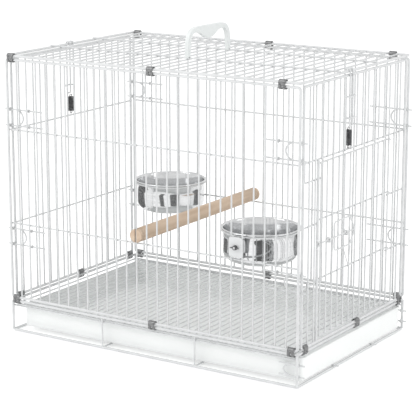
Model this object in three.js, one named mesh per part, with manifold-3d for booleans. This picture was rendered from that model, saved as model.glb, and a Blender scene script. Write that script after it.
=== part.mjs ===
// Collapsible wire travel cage for small birds, in millimetres, +Z up.
// X runs along the length (the drawer pulls out towards +X), Y from front (-) to back (+).
// The origin is on the ground under the middle of the cage. Wires are modelled as square bars.
import * as THREE from "three";
import { mergeVertices } from "three/addons/utils/BufferGeometryUtils.js";
import Module from "manifold-3d";

const wasm = await Module();
wasm.setup();

// Cage body.
const length = 600; // over the end frame wires
const depth = 392; // over the front and back frame wires
const height = 508; // ground to the top frame wires
const baseHeight = 60; // ground to the top of the base rails
const frameWire = 4.8; // perimeter wires of every panel and of the base
const gridWire = 3; // upright and cross wires
const weld = 0.2; // how far two welded wires sink into each other
const hingeGap = 2; // between two frame wires that share a hinge clip
const clearance = 0.4; // between pieces that slide, turn or only touch
const frontGaps = 28; // wire spaces along the length
const sideGaps = 18; // wire spaces across a side panel
const upperCrossDrop = 135; // from the top of the roof frame to the upper cross wires
const upperCross = height - upperCrossDrop;
const lowerCross = 202; // height of the lower cross wires, front, back and left
const topCrossY = 65; // the two lengthwise wires on the roof
const basePostX = 97; // the base's middle uprights and floor wires, either side of the middle
const baseRunnerY = 70; // the two lengthwise floor wires

// Sheet clips that hinge two neighbouring frame wires.
const clipShare = 0.64; // a clip's width, as a share of one side wire space
const clipSheet = 1;
const clipReach = Math.SQRT2 * frameWire / 2 + clearance + clipSheet; // wire centre to the clip's outside

// Corner bolts: two pins joined by a D-shaped finger loop.
const boltWire = 2.8;
const boltTip = 309; // how far the pins and the floor wires reach past the corner
const boltReach = 84; // length of the pins
const boltSpan = 29; // between the two pins
const loopDepth = 17; // bulge of the finger loop
const loopInset = 10; // from the end frame to the finger loop
const eyeWire = 1.6;
const boltHeights = { upper: upperCross + 21.5, lower: lowerCross - 25.5 };
const baseBoltHeight = 28;
const baseBoltSpan = 20;
const baseBoltReach = 50;

// Spring hooks that hold the side panels to the roof.
const hookWire = 2.8;
const hookSpan = 10; // between the two legs
const hookBottom = height - 94;
const hookGuides = [height - 44, height - 80];
const springDiameter = 12;
const springLoop = 4; // height of each end loop

// Side door.
const doorTop = upperCross - 7;
const doorRails = [271, 170];
const doorRailStep = 5; // the door's rails sit just above the panel's own cross wires
const doorBottom = baseHeight + 11;
const doorEdgeGap = 10.6; // fixed edge wire to the door's own edge wire
const stopWire = 2.8;
// The door stops: from the door's top or bottom, behind the fixed edge, and past the door's edge.
const topStop = { drop: 26, behind: 39, past: 6.5 };
const bottomStop = { rise: 15, behind: 23, past: 18.5 };
const hingeEyePlay = 0.35; // between the hinge wire's corners and its eyes, at any angle
const hingeEyeInner = gridWire * Math.SQRT1_2 + hingeEyePlay;
const hingeEyeWire = 2;
const latchHeight = 233;
const latchWire = 2.8;
const latchSpringWire = 1.8;
const latchTop = latchHeight + 26;
const latchFoot = latchHeight - 23;
const latchBulge = 14; // the thumb's bulge behind the grip frame
const keeperHalf = 9; // half the height of the V that the latch reaches

// Drawer and grate.
const trayLength = length - 14;
const trayWidth = depth - 32; // leaves room for the base's wires and eyes
const trayTop = 49;
const trayWall = 2;
const trayCorner = 8;
const grateWire = 2.8;
const grateBar = 2;
const grateGaps = 42;

// Bowls and perch.
const bowlRadius = 68;
const bowlDepth = 58;
const bowlWall = 1;
const bowlRim = 3.5; // how far the rolled rim stands out
const bowlGap = 4; // rim to the panel's cross wire
const bowlRimHeight = 244;
const ringWire = 3;
const perchDiameter = 24;
const perchPast = 2; // how far the perch reaches past the uprights that its slots straddle
const slotDepth = 9; // from the perch's end to the bottom of its slot
const plateHalf = 13.5; // half the width of a bowl's clamp plates
const plateSheet = 2;
const plateBore = 3;
const plateDrop = 10; // from the clamp bolt to the inner plate's lower edge
const outerPlateHalf = 17; // half the height of the plate outside the wires
const armX = 9; // the two arms from a ring to its plate, either side of the middle
const nutHub = 4.2;
const wingTip = 8.5;

// Handle.
const handleHeight = 52; // above the roof wires
const handleWidth = 8;
const handleGrip = 23; // depth of the grip in its middle
const handleShoulder = 10; // and at its ends
const handleFoot = 4; // half the thickness of a foot round its roof wire
const handleBend = 34;
const handleInnerBend = 18;

// Places that follow from the sizes.
const endX = length / 2 - frameWire / 2; // centre of the end frame wires
const sideY = depth / 2 - frameWire / 2; // centre of the front and back frame wires
const frontPitch = (2 * endX) / frontGaps;
const frontWireX = (i) => -endX + frontPitch * i;
const railZ = baseHeight - frameWire / 2; // centre of the base's top rails
const panelBottom = baseHeight + hingeGap + frameWire / 2; // centre of the panels' bottom wires
const roofZ = height - frameWire / 2;
const panelTop = roofZ - frameWire - hingeGap; // centre of the panels' top wires
const panelInner = sideY - frameWire / 2; // inner face of the front panel's frame
const crossOffset = gridWire - weld; // grid wires to cross wires
const eyeInner = boltWire / 2 + clearance;
const eyeOuter = eyeInner + eyeWire;
const boltY = panelInner - clearance - eyeOuter; // centre line of the corner bolts
const postY = boltY - eyeOuter + weld - frameWire / 2; // centre of a side panel's edge wires
const sidePitch = (2 * postY) / sideGaps;
const sideWireY = (i) => -postY + sidePitch * i;
const clipWidth = clipShare * sidePitch;
const hookY = { right: (sideWireY(7) + sideWireY(8)) / 2, left: (sideWireY(8) + sideWireY(9)) / 2 };

// ---- solids -------------------------------------------------------------------------------------

function toSolid(geometry) {
  const bare = geometry.index ? geometry.toNonIndexed() : geometry.clone();
  bare.deleteAttribute("normal");
  bare.deleteAttribute("uv");
  const merged = mergeVertices(bare, 1e-4);
  return new wasm.Manifold(new wasm.Mesh({
    numProp: 3,
    vertProperties: new Float32Array(merged.attributes.position.array),
    triVerts: new Uint32Array(merged.index.array),
  }));
}

function toGeometry(solid) {
  const mesh = solid.getMesh();
  const geometry = new THREE.BufferGeometry();
  geometry.setAttribute("position", new THREE.BufferAttribute(mesh.vertProperties, 3));
  geometry.setIndex(new THREE.BufferAttribute(mesh.triVerts, 1));
  geometry.computeVertexNormals();
  return geometry;
}

const join = (solids) => solids.reduce((all, next) => all.add(next));

function block(x0, x1, y0, y1, z0, z1) {
  const box = new THREE.BoxGeometry(Math.abs(x1 - x0), Math.abs(y1 - y0), Math.abs(z1 - z0));
  return toSolid(box.translate((x0 + x1) / 2, (y0 + y1) / 2, (z0 + z1) / 2));
}

// Square wires along one axis, given by their centre line.
const wireX = (x0, x1, y, z, d) => block(x0, x1, y - d / 2, y + d / 2, z - d / 2, z + d / 2);
const wireY = (x, y0, y1, z, d) => block(x - d / 2, x + d / 2, y0, y1, z - d / 2, z + d / 2);
const wireZ = (x, y, z0, z1, d) => block(x - d / 2, x + d / 2, y - d / 2, y + d / 2, z0, z1);

// A square wire through points that lie in a plane of constant X ("x") or constant Y ("y").
function bentWire(points, plane, at, d) {
  const solids = [];
  for (let i = 0; i < points.length - 1; i++) {
    const [a0, b0] = points[i];
    const [a1, b1] = points[i + 1];
    const run = Math.hypot(a1 - a0, b1 - b0);
    const bar = new THREE.BoxGeometry(run + d, d, d);
    bar.rotateZ(Math.atan2(b1 - b0, a1 - a0));
    bar.translate((a0 + a1) / 2, (b0 + b1) / 2, 0);
    bar.rotateX(Math.PI / 2);
    if (plane === "x") bar.rotateZ(Math.PI / 2).translate(at, 0, 0);
    else bar.translate(0, at, 0);
    solids.push(toSolid(bar));
  }
  return join(solids);
}

function mirrored(solid, normal) {
  return solid.mirror(normal);
}

// ---- front and back panels ----------------------------------------------------------------------

// An eye around a pin that runs along X, reaching to the wire that carries it.
function pinEye(x, y, z, carrierY) {
  const half = eyeOuter;
  const ring = block(x - eyeWire / 2, x + eyeWire / 2, y - half, y + half, z - half, z + half);
  const hole = block(x - eyeWire, x + eyeWire, y - eyeInner, y + eyeInner, z - eyeInner, z + eyeInner);
  const arm = block(x - eyeWire / 2, x + eyeWire / 2, y - half, carrierY, z - eyeWire / 2, z + eyeWire / 2);
  return ring.add(arm).subtract(hole);
}

function pinHeights(middle, span) {
  return [middle - span / 2, middle + span / 2];
}

function longPanel() {
  const y = -sideY;
  const lap = frameWire / 4;
  const bars = [
    wireX(-endX - frameWire / 2, endX + frameWire / 2, y, panelTop, frameWire),
    wireX(-endX - frameWire / 2, endX + frameWire / 2, y, panelBottom, frameWire),
    wireZ(-endX, y, panelBottom, panelTop, frameWire),
    wireZ(endX, y, panelBottom, panelTop, frameWire),
  ];
  for (let i = 1; i < frontGaps; i++) {
    const foot = panelBottom + frameWire / 2 - lap;
    bars.push(wireZ(frontWireX(i), y, foot, panelTop - frameWire / 2 + lap, gridWire));
  }
  for (const z of [upperCross, lowerCross]) {
    bars.push(wireX(-endX, endX, y + crossOffset, z, gridWire));
  }
  for (const middle of Object.values(boltHeights)) {
    for (const z of pinHeights(middle, boltSpan)) {
      for (const x of [frontWireX(2), frontWireX(frontGaps - 2)]) {
        bars.push(pinEye(x, -boltY, z, y));
      }
    }
  }
  return join(bars);
}

// ---- roof ---------------------------------------------------------------------------------------

function roofPanel() {
  const lap = frameWire / 4;
  const bars = [
    wireX(-endX - frameWire / 2, endX + frameWire / 2, -sideY, roofZ, frameWire),
    wireX(-endX - frameWire / 2, endX + frameWire / 2, sideY, roofZ, frameWire),
    wireY(-endX, -sideY, sideY, roofZ, frameWire),
    wireY(endX, -sideY, sideY, roofZ, frameWire),
  ];
  for (let i = 1; i < frontGaps; i++) {
    bars.push(wireY(frontWireX(i), -panelInner - lap, panelInner + lap, roofZ, gridWire));
  }
  for (const y of [-topCrossY, topCrossY]) {
    bars.push(wireX(-length / 2, length / 2, y, roofZ + crossOffset, gridWire));
  }
  return join(bars);
}

// ---- side panels --------------------------------------------------------------------------------

const doorFrontWire = 3; // the door's own edge wire takes this upright's place
const doorHingeWire = 15; // the door's eyes turn on this upright
const fixedEdgeY = sideWireY(doorFrontWire) - doorEdgeGap;

// Staples that guide a spring hook, welded to the two uprights beside it.
function hookStaple(y, z) {
  const out = length / 2 + clearance + hookWire + clearance;
  const [a, b] = [y - sidePitch / 2, y + sidePitch / 2];
  const half = gridWire / 2;
  const arm = (at) => wireX(endX, out + gridWire, at, z, gridWire);
  return join([arm(a), arm(b), wireY(out + half, a - half, b + half, z, gridWire)]);
}

// A short L-shaped wire behind the door's free edge, which stops it swinging inwards.
function doorStop(points) {
  return bentWire(points, "x", endX - frameWire / 2 - stopWire / 2 + weld * 1.5, stopWire);
}

// A side panel at +X, with its hook's guides centred on y.
function sidePanel(hook, withDoor) {
  const lap = frameWire / 4;
  const crossX = endX - crossOffset;
  const bars = [
    wireY(endX, -postY - frameWire / 2, postY + frameWire / 2, panelTop, frameWire),
    wireY(endX, -postY - frameWire / 2, postY + frameWire / 2, panelBottom, frameWire),
    wireZ(endX, -postY, panelBottom, panelTop, frameWire),
    wireZ(endX, postY, panelBottom, panelTop, frameWire),
    wireY(crossX, -postY, postY, upperCross, gridWire),
  ];
  for (let i = 1; i < sideGaps; i++) {
    const behindDoor = withDoor && i >= doorFrontWire && i < doorHingeWire;
    const foot = behindDoor ? upperCross : panelBottom + frameWire / 2 - lap;
    bars.push(wireZ(endX, sideWireY(i), foot, panelTop - frameWire / 2 + lap, gridWire));
  }
  if (withDoor) {
    const edge = sideWireY(doorFrontWire);
    const top = [fixedEdgeY - topStop.behind, doorTop - topStop.drop];
    const bottom = [fixedEdgeY - bottomStop.behind, doorBottom + bottomStop.rise];
    bars.push(wireZ(endX, fixedEdgeY, panelBottom, upperCross, frameWire));
    for (const z of doorRails) {
      const low = z - doorRailStep;
      bars.push(wireY(crossX, -postY, fixedEdgeY, low, gridWire));
      bars.push(wireY(crossX, sideWireY(doorHingeWire), postY, low, gridWire));
    }
    bars.push(doorStop([[top[0], upperCross], top, [edge + topStop.past, top[1]]]));
    bars.push(doorStop([[bottom[0], panelBottom], bottom, [edge + bottomStop.past, bottom[1]]]));
    bars.push(latchKeeper());
  } else {
    bars.push(wireY(crossX, -postY, postY, lowerCross, gridWire));
  }
  for (const z of hookGuides) bars.push(hookStaple(hook, z));
  for (const middle of Object.values(boltHeights)) {
    for (const z of pinHeights(middle, boltSpan)) {
      bars.push(pinEye(endX, boltY, z, postY));
      bars.push(pinEye(endX, -boltY, z, -boltY + eyeOuter));
    }
  }
  return join(bars);
}

// A V of wire on two fixed uprights, whose point the door latch reaches.
function latchKeeper() {
  const x = length / 2 + latchWire / 2 - weld;
  const back = sideWireY(2);
  const tip = fixedEdgeY + frameWire / 2;
  const ends = [latchHeight + keeperHalf, latchHeight - keeperHalf];
  return bentWire([[back, ends[0]], [tip, latchHeight], [back, ends[1]]], "x", x, latchWire);
}

// ---- door and its latch -------------------------------------------------------------------------

function sideDoor() {
  const crossX = endX - crossOffset;
  const edge = sideWireY(doorFrontWire);
  const hinge = sideWireY(doorHingeWire);
  const bars = [];
  for (let i = doorFrontWire; i < doorHingeWire; i++) {
    bars.push(wireZ(endX, sideWireY(i), doorBottom, doorTop, gridWire));
  }
  const outer = hingeEyeInner + hingeEyeWire;
  for (const z of [doorTop, ...doorRails, doorBottom]) {
    const low = z - gridWire / 2;
    const high = z + gridWire / 2;
    const eye = block(endX - outer, endX + outer, hinge - outer, hinge + outer, low, high);
    const [a, b] = [hinge - hingeEyeInner, hinge + hingeEyeInner];
    const hole = block(endX - hingeEyeInner, endX + hingeEyeInner, a, b, low - 1, high + 1);
    bars.push(wireY(crossX, edge - gridWire / 2, hinge - hingeEyeInner, z, gridWire), eye.subtract(hole));
  }
  // Staples on two uprights guide the latch.
  const out = length / 2 + clearance + latchWire + clearance;
  for (const i of [doorFrontWire + 1, doorFrontWire + 4]) {
    const y = sideWireY(i);
    const reach = latchWire / 2 + clearance + gridWire / 2; // latch to the middle of a staple's arm
    for (const z of [latchHeight - reach, latchHeight + reach]) bars.push(wireX(endX, out + gridWire, y, z, gridWire));
    const [low, high] = [latchHeight - reach - gridWire / 2, latchHeight + reach + gridWire / 2];
    bars.push(wireZ(out + gridWire / 2, y, low, high, gridWire));
  }
  return join(bars);
}

const latchX = length / 2 + clearance + latchWire / 2;
const latchFront = sideWireY(5);
const latchBack = sideWireY(8) - 4;
const latchPull = latchBack + latchBulge;
const corner = Math.SQRT1_2; // a square wire's corner, as a share of its width

function doorLatch() {
  const tip = fixedEdgeY + frameWire / 2 + latchWire + clearance;
  const grip = [
    [latchFront, latchTop],
    [latchBack, latchTop],
    [latchPull, latchHeight],
    [latchBack, latchFoot],
    [latchFront, latchFoot],
  ];
  return join([
    wireY(latchX, tip, latchPull, latchHeight, latchWire),
    bentWire(grip, "x", latchX, latchWire),
    wireZ(latchX, latchFront, latchFoot, latchTop, latchWire),
  ]);
}

function latchSpring() {
  const top = latchFoot - latchWire * corner - clearance - latchSpringWire * corner;
  const foot = doorRails[1] + gridWire / 2 + clearance + latchSpringWire * corner;
  const meet = latchBack - 6;
  return bentWire([[latchBack - 24, top], [meet, foot], [latchBack, top]], "x", latchX, latchSpringWire);
}

// ---- spring hooks -------------------------------------------------------------------------------

// The crook goes up the outside of the panel, over the roof's end wire and down behind it.
function springHook(y) {
  const legX = length / 2 + clearance + hookWire / 2;
  const over = height + clearance + hookWire / 2;
  const behind = endX - frameWire / 2 - clearance - hookWire / 2;
  const bars = [];
  for (const at of [y - hookSpan / 2, y + hookSpan / 2]) {
    bars.push(wireZ(legX, at, hookBottom, over + hookWire / 2, hookWire));
    bars.push(wireX(behind - hookWire / 2, legX, at, over, hookWire));
    bars.push(wireZ(behind, at, roofZ - frameWire / 2, over, hookWire));
  }
  const [a, b] = [y - hookSpan / 2 - hookWire / 2, y + hookSpan / 2 + hookWire / 2];
  bars.push(wireY(legX, a, b, hookBottom, hookWire));
  bars.push(wireY(behind, a, b, roofZ - frameWire / 2, hookWire));
  return join(bars);
}

// The extension spring between the hook and the upper cross wire, as its outer shape.
function hookSpring(y) {
  const top = hookBottom - hookWire / 2 - clearance;
  const bottom = upperCross + gridWire / 2 + clearance;
  const body = new THREE.CylinderGeometry(springDiameter / 2, springDiameter / 2, top - bottom - 2 * springLoop, 12);
  body.rotateX(Math.PI / 2).translate(endX, y, (top + bottom) / 2);
  return join([
    toSolid(body),
    wireZ(endX, y, bottom, bottom + springLoop + 1, 2),
    wireZ(endX, y, top - springLoop - 1, top, 2),
  ]);
}

// ---- corner bolts -------------------------------------------------------------------------------

// Two pins and a D-shaped loop, for the front right corner.
function cornerBolt(span, reach, depthOfLoop) {
  const half = span / 2;
  const from = endX - frameWire / 2 - loopInset;
  const rows = 5;
  const arc = [];
  for (let i = 0; i <= rows; i++) {
    const turn = (Math.PI * i) / rows;
    arc.push([from - depthOfLoop * Math.sin(turn), half * Math.cos(turn)]);
  }
  return join([
    wireX(boltTip - reach, boltTip, 0, half, boltWire),
    wireX(boltTip - reach, boltTip, 0, -half, boltWire),
    bentWire(arc, "y", 0, boltWire),
  ]);
}

// ---- hinge clips --------------------------------------------------------------------------------

// A sheet clip bent round two parallel frame wires, one above the other, forked on its outer side.
function hingeClip() {
  const inner = clipReach - clipSheet;
  const rise = (frameWire + hingeGap) / 2;
  const stadium = (r) => {
    const shape = new THREE.Shape();
    shape.absarc(0, rise, r, 0, Math.PI, false);
    shape.absarc(0, -rise, r, Math.PI, 2 * Math.PI, false);
    shape.closePath();
    return shape;
  };
  const sweep = (r, w) => {
    const g = new THREE.ExtrudeGeometry(stadium(r), { depth: w, bevelEnabled: false, curveSegments: 3 });
    return toSolid(g.translate(0, 0, -w / 2).rotateX(Math.PI / 2).rotateZ(Math.PI / 2));
  };
  const band = sweep(clipReach, clipWidth).subtract(sweep(inner, clipWidth + 2));
  const slit = block(-clipWidth, clipWidth, inner - 1, clipReach + 2, -rise, rise * 0.2);
  const fork = block(-clipWidth / 8, clipWidth / 8, -clipReach - 2, 0, -rise - clipReach - 3, 0);
  return band.subtract(slit).subtract(fork);
}

// ---- base ---------------------------------------------------------------------------------------

function baseFrame() {
  const low = frameWire / 2;
  const across = frameWire - weld + gridWire / 2;
  const bars = [];
  for (const y of [-sideY, sideY]) {
    for (const z of [low, railZ]) {
      bars.push(wireX(-endX - frameWire / 2, endX + frameWire / 2, y, z, frameWire));
    }
    for (const x of [-endX, endX]) bars.push(wireZ(x, y, low, railZ, frameWire));
    for (const x of [-basePostX, basePostX]) bars.push(wireZ(x, y, low, railZ, gridWire));
    const runnerY = Math.sign(y) * (panelInner - gridWire / 2 + weld);
    bars.push(wireX(-endX, endX, runnerY, runnerZ, gridWire));
  }
  for (const x of [-endX, endX]) {
    bars.push(wireY(x, -sideY, sideY, low, frameWire));
    bars.push(wireY(x, -sideY, sideY, railZ, frameWire));
  }
  for (const x of [-basePostX, basePostX]) bars.push(wireY(x, -sideY, sideY, low, gridWire));
  for (const y of [-baseRunnerY, baseRunnerY]) bars.push(wireX(-boltTip, boltTip, y, across, gridWire));
  for (const side of [-1, 1]) {
    for (const z of pinHeights(baseBoltHeight, baseBoltSpan)) {
      const guide = pinEye(endX, boltY, z, panelInner + 1);
      bars.push(side > 0 ? guide : mirrored(guide, [0, 1, 0]));
    }
  }
  return join(bars);
}
const grateZ = railZ - clipReach - clearance - grateWire / 2; // just under the clips
const runnerZ = grateZ - grateWire / 2 - clearance - gridWire / 2;

function roundedBox(l, w, r, z0, z1) {
  const s = new THREE.Shape();
  const [a, b] = [l / 2, w / 2];
  s.moveTo(-a + r, -b);
  s.lineTo(a - r, -b);
  s.absarc(a - r, -b + r, r, -Math.PI / 2, 0, false);
  s.lineTo(a, b - r);
  s.absarc(a - r, b - r, r, 0, Math.PI / 2, false);
  s.lineTo(-a + r, b);
  s.absarc(-a + r, b - r, r, Math.PI / 2, Math.PI, false);
  s.lineTo(-a, -b + r);
  s.absarc(-a + r, -b + r, r, Math.PI, 1.5 * Math.PI, false);
  const g = new THREE.ExtrudeGeometry(s, { depth: z1 - z0, bevelEnabled: false, curveSegments: 5 });
  return toSolid(g.translate(0, 0, z0));
}

const trayBottom = frameWire - weld + gridWire + clearance;
const trayShift = length / 2 + 1 - trayLength / 2; // the drawer's face stands just past the end rails

function tray() {
  const w = trayWall;
  const rim = 3;
  const outside = roundedBox(trayLength, trayWidth, trayCorner, trayBottom, trayTop - rim);
  const lip = roundedBox(trayLength, trayWidth + 2 * w, trayCorner + w, trayTop - rim, trayTop);
  const inside = roundedBox(trayLength - 2 * w, trayWidth - 2 * w, trayCorner - w, trayBottom + w, trayTop + 1);
  return outside.add(lip).subtract(inside).translate([trayShift, 0, 0]);
}

function floorGrate() {
  const z = grateZ;
  const halfY = panelInner - 2 * clearance - grateWire / 2;
  const halfX = endX - frameWire / 2 - grateWire;
  const bars = [
    wireX(-halfX, halfX, -halfY, z, grateWire),
    wireX(-halfX, halfX, halfY, z, grateWire),
    wireY(-halfX, -halfY - grateWire / 2, halfY + grateWire / 2, z, grateWire),
    wireY(halfX, -halfY - grateWire / 2, halfY + grateWire / 2, z, grateWire),
  ];
  for (let i = 1; i < grateGaps; i++) {
    const x = -halfX + (2 * halfX * i) / grateGaps;
    bars.push(wireY(x, -halfY, halfY, z, grateBar));
  }
  return join(bars);
}

// ---- bowls, rings and clamps --------------------------------------------------------------------

const midGap = (i) => (frontWireX(i) + frontWireX(i + 1)) / 2;
const bowlX = { front: midGap(22), back: -midGap(21) };
const bowlY = panelInner - crossOffset - bowlRadius - bowlGap;
const clampZ = bowlRimHeight - 20;
const clampDrop = clampZ - bowlRimHeight;
const lathe = (points, segments) => new THREE.LatheGeometry(points.map((p) => new THREE.Vector2(...p)), segments)
  .rotateX(Math.PI / 2);

function bowl() {
  const r = bowlRadius - bowlRim; // body, under the rim
  const base = r - 15;
  const h = bowlDepth;
  const w = bowlWall;
  const profile = [
    [0, -h], [base, -h], [r - 4, -h + 5], [r, -h + 18], [r, -3],
    [bowlRadius, -2.5], [bowlRadius, 0], [r - w, 0],
    [r - w, -h + 18.2], [r - 4.7, -h + 5.8], [base - 0.4, -h + w], [0, -h + w],
  ];
  return toSolid(lathe(profile, 24));
}

function bowlRing() {
  const inner = bowlRadius - bowlRim + clearance;
  const outer = inner + ringWire;
  const top = -3 - clearance;
  const ring = toSolid(lathe([[inner, top - ringWire], [outer, top - ringWire], [outer, top], [inner, top],
    [inner, top - ringWire]], 24));
  const reach = panelInner - crossOffset / 2 - bowlY; // to the clamp plate's outer face
  const plate = block(-plateHalf, plateHalf, -reach, -reach + plateSheet, clampDrop - plateDrop, top);
  const [armLow, armIn] = [top - ringWire, -inner - weld];
  const arms = [-armX, armX].map((x) => block(x - ringWire / 2, x + ringWire / 2, -reach, armIn, armLow, top));
  const [low, high] = [clampDrop - plateBore, clampDrop + plateBore];
  const bore = block(-plateBore, plateBore, -reach - plateSheet, -reach + 2 * plateSheet, low, high);
  return join([ring, plate, ...arms]).subtract(bore);
}

// A carriage bolt through the clamp plate, pointing out of the cage.
function clampBolt() {
  const head = toSolid(lathe([[0, 0], [6, 0], [5, 2], [3, 3], [0, 3.2]], 12));
  const shank = toSolid(lathe([[0, -16], [2.4, -16], [2.4, 1], [0, 1]], 12));
  return head.add(shank);
}

// The plate outside the wires, with the bolt through its middle.
function outerPlate() {
  const plate = block(-plateHalf, plateHalf, 0, plateSheet, -outerPlateHalf, outerPlateHalf);
  return plate.subtract(block(-plateBore, plateBore, -1, plateSheet + 1, -plateBore, plateBore));
}

function wingNut() {
  const bore = 2.8;
  const profile = [[bore, 0], [nutHub, 0], [nutHub - 0.6, 5], [bore, 5], [bore, 0]];
  const wing = (s) => block(s * (nutHub - 0.8), s * wingTip, -1.2, 1.2, 1, 6);
  return join([toSolid(lathe(profile, 12)), wing(1), wing(-1)]);
}

// ---- perch --------------------------------------------------------------------------------------

const perchX = frontWireX(13); // centred on an upright, which stands in the slot at each end
const perchZ = lowerCross + gridWire / 2 + clearance + perchDiameter / 2;

function perch() {
  const end = sideY + gridWire / 2 + perchPast;
  const r = perchDiameter / 2;
  const half = [[r, end - 1], [r - 1, end], [0, end]];
  const other = half.map(([a, b]) => [a, -b]).reverse();
  const dowel = toSolid(lathe([...other, ...half], 20).rotateX(Math.PI / 2));
  const slotHalf = gridWire / 2 + clearance;
  const slot = block(-slotHalf, slotHalf, end - slotDepth, end + 1, -perchDiameter, perchDiameter);
  return dowel.subtract(slot).subtract(mirrored(slot, [0, 1, 0]));
}

// ---- carry handle -------------------------------------------------------------------------------

// An arch over the middle of the roof, whose feet close round the two lengthwise wires.
function carryHandle() {
  const foot = roofZ + crossOffset;
  const legs = topCrossY + handleFoot;
  const hand = topCrossY - handleFoot;
  const top = height + handleHeight;
  const under = top - handleShoulder;
  const grip = top - handleGrip;
  const base = foot - gridWire / 2 + 0.5;
  const inner = hand - handleInnerBend;
  const shape = new THREE.Shape();
  shape.moveTo(-legs, base);
  shape.lineTo(-legs, base + 12);
  shape.bezierCurveTo(-legs, top - 10, -legs + 8, top, -legs + handleBend, top);
  shape.lineTo(legs - handleBend, top);
  shape.bezierCurveTo(legs - 8, top, legs, top - 10, legs, base + 12);
  shape.lineTo(legs, base);
  shape.lineTo(hand, base);
  shape.bezierCurveTo(hand, under - 6, hand - 6, under, inner, under);
  shape.bezierCurveTo(inner / 2, under, inner / 2, grip, 0, grip);
  shape.bezierCurveTo(-inner / 2, grip, -inner / 2, under, -inner, under);
  shape.bezierCurveTo(-hand + 6, under, -hand, under - 6, -hand, base);
  shape.closePath();
  const g = new THREE.ExtrudeGeometry(shape, { depth: handleWidth, bevelEnabled: false, curveSegments: 8 });
  g.translate(0, 0, -handleWidth / 2).rotateX(Math.PI / 2).rotateZ(Math.PI / 2);
  const slots = [-topCrossY, topCrossY].map((y) => {
    const half = gridWire / 2 + clearance;
    return block(-handleWidth, handleWidth, y - half, y + half, base - 1, foot + half);
  });
  return slots.reduce((body, slot) => body.subtract(slot), toSolid(g));
}

// ---- the assembly -------------------------------------------------------------------------------

const paint = (color, roughness, metalness) => (
  new THREE.MeshStandardMaterial({ color, roughness, metalness })
);
const coat = paint(0xe6e8e8, 0.45, 0.1);
const zinc = paint(0x55585a, 0.5, 0.6);
const steel = paint(0xc9cccd, 0.2, 1);
const wood = paint(0xc99a66, 0.7, 0);
const plastic = paint(0xe9ecea, 0.5, 0);
const trayPlastic = paint(0xeff3f2, 0.45, 0);

const cage = new THREE.Group();

function place(name, solid, material, position = [0, 0, 0], turn = [0, 0, 0]) {
  const mesh = new THREE.Mesh(toGeometry(solid), material);
  mesh.name = name;
  mesh.position.set(...position);
  mesh.rotation.set(...turn);
  cage.add(mesh);
}

place("base_frame", baseFrame(), coat);
place("front_panel", longPanel(), coat);
place("back_panel", longPanel(), coat, [0, 0, 0], [0, 0, Math.PI]);
place("roof_panel", roofPanel(), coat);
place("right_side_panel", sidePanel(hookY.right, true), coat);
place("left_side_panel", sidePanel(-hookY.left, false), coat, [0, 0, 0], [0, 0, Math.PI]);
place("side_door", sideDoor(), coat);
place("door_latch", doorLatch(), coat);
place("door_latch_spring", latchSpring(), coat);
place("right_spring_hook", springHook(hookY.right), coat);
place("left_spring_hook", springHook(-hookY.left), coat, [0, 0, 0], [0, 0, Math.PI]);
place("right_hook_spring", hookSpring(hookY.right), zinc);
place("left_hook_spring", hookSpring(-hookY.left), zinc, [0, 0, 0], [0, 0, Math.PI]);

for (const [end, turn] of [["front", 0], ["back", Math.PI]]) {
  for (const [side, flip] of [["right", 1], ["left", -1]]) {
    for (const [level, z] of Object.entries(boltHeights)) {
      const bolt = cornerBolt(boltSpan, boltReach, loopDepth);
      const y = end === "front" ? -boltY : boltY;
      place(`${end}_${side}_${level}_bolt`, flip > 0 ? bolt : mirrored(bolt, [1, 0, 0]), coat, [0, y, z]);
    }
  }
}
place("front_base_bolt", cornerBolt(baseBoltSpan, baseBoltReach, loopDepth), coat, [0, -boltY, baseBoltHeight]);
place("back_base_bolt", cornerBolt(baseBoltSpan, baseBoltReach, loopDepth), coat, [0, boltY, baseBoltHeight]);

const lowClipZ = (railZ + panelBottom) / 2;
const highClipZ = (panelTop + roofZ) / 2;
const clipGaps = { low: [0, 14, 27], high: [0, 14, 26] };
const clipX = (gap) => (frontWireX(gap) + frontWireX(gap + 1)) / 2;
const clip = hingeClip();
for (const [level, gaps] of Object.entries(clipGaps)) {
  gaps.forEach((gap, i) => {
    const z = level === "low" ? lowClipZ : highClipZ;
    place(`front_${level}_clip_${i + 1}`, clip, zinc, [clipX(gap), -sideY, z]);
    place(`back_${level}_clip_${i + 1}`, clip, zinc, [clipX(gap), sideY, z], [0, 0, Math.PI]);
  });
}
for (const [i, gap] of [0, 9, 17].entries()) {
  const y = (sideWireY(gap) + sideWireY(gap + 1)) / 2;
  place(`right_clip_${i + 1}`, clip, zinc, [endX, y, lowClipZ], [0, 0, Math.PI / 2]);
  place(`left_clip_${i + 1}`, clip, zinc, [-endX, y, lowClipZ], [0, 0, -Math.PI / 2]);
}

place("tray", tray(), trayPlastic);
place("floor_grate", floorGrate(), coat);

const bowls = [["front", bowlX.front, -bowlY, 0], ["back", bowlX.back, bowlY, Math.PI]];
for (const [name, x, y, turn] of bowls) {
  const out = Math.sign(y);
  place(`${name}_bowl`, bowl(), steel, [x, y, bowlRimHeight]);
  place(`${name}_bowl_ring`, bowlRing(), coat, [x, y, bowlRimHeight], [0, 0, turn]);
  const plateY = out * (panelInner - crossOffset / 2 - plateSheet - clearance);
  place(`${name}_bowl_bolt`, clampBolt(), steel, [x, plateY, clampZ], [out * Math.PI / 2, 0, 0]);
  const outerY = sideY + gridWire / 2 + clearance;
  const nutY = out * (outerY + plateSheet + clearance);
  place(`${name}_bowl_plate`, outerPlate(), coat, [x, out * outerY, clampZ], [0, 0, out > 0 ? 0 : Math.PI]);
  place(`${name}_bowl_nut`, wingNut(), zinc, [x, nutY, clampZ], [out * -Math.PI / 2, 0, 0]);
}
place("perch", perch(), wood, [perchX, 0, perchZ]);
place("carry_handle", carryHandle(), plastic);

export default cage;
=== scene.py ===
import math

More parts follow.
